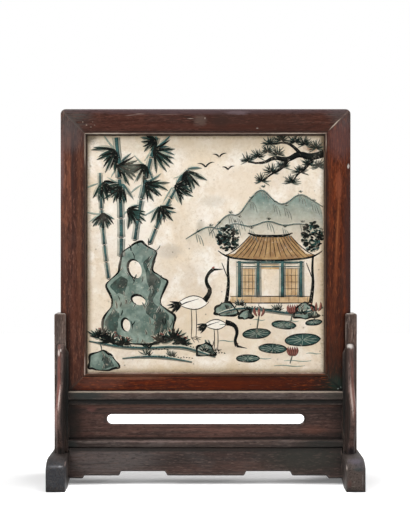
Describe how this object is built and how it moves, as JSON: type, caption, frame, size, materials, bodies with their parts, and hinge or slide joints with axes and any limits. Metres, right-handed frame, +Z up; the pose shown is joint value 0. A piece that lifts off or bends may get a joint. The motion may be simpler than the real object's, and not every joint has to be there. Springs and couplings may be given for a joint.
{
  "type": "table screen",
  "caption": "Table screen: square alabaster panel in a mitred hardwood frame that lifts out of a footed stand with grooved posts, vase spandrels, slotted panel and slanted aprons.",
  "frame": {"origin": "on the table under the middle of the stand", "axes": "+X to the viewer's right, +Y from the painted front to the back, +Z up"},
  "size_m": [0.4948, 0.22, 0.6],
  "materials": {
    "frame_hardwood": "satin",
    "stand_hardwood": "satin",
    "slip_hardwood": "satin",
    "backing_wood": "matte",
    "pin_wood": "matte",
    "alabaster": "satin"
  },
  "bodies": {
    "stand": {"left_foot": "stand_hardwood", "right_foot": "stand_hardwood", "left_post": "stand_hardwood", "right_post": "stand_hardwood", "left_front_spandrel": "stand_hardwood", "right_front_spandrel": "stand_hardwood", "left_rear_spandrel": "stand_hardwood", "right_rear_spandrel": "stand_hardwood", "lower_cross_rail": "stand_hardwood", "upper_cross_rail": "stand_hardwood", "slotted_panel": "stand_hardwood", "front_apron": "stand_hardwood", "rear_apron": "stand_hardwood", "spandrel_tenons": "pin_wood", "foot_pins": "pin_wood"},
    "screen": {"frame_top_rail": "frame_hardwood", "frame_bottom_rail": "frame_hardwood", "frame_left_stile": "frame_hardwood", "frame_right_stile": "frame_hardwood", "slip_top": "slip_hardwood", "slip_bottom": "slip_hardwood", "slip_left": "slip_hardwood", "slip_right": "slip_hardwood", "alabaster_panel": "alabaster", "back_board_left": "backing_wood", "back_board_centre": "backing_wood", "back_board_right": "backing_wood", "lower_back_batten": "backing_wood", "upper_back_batten": "backing_wood", "corner_pins": "pin_wood", "batten_pins": "pin_wood"}
  },
  "joints": [
    {"name": "screen_lift", "type": "slide", "parent": "stand", "child": "screen", "axis": [0, 0, 1], "range_m": [0, 0.145]}
  ]
}
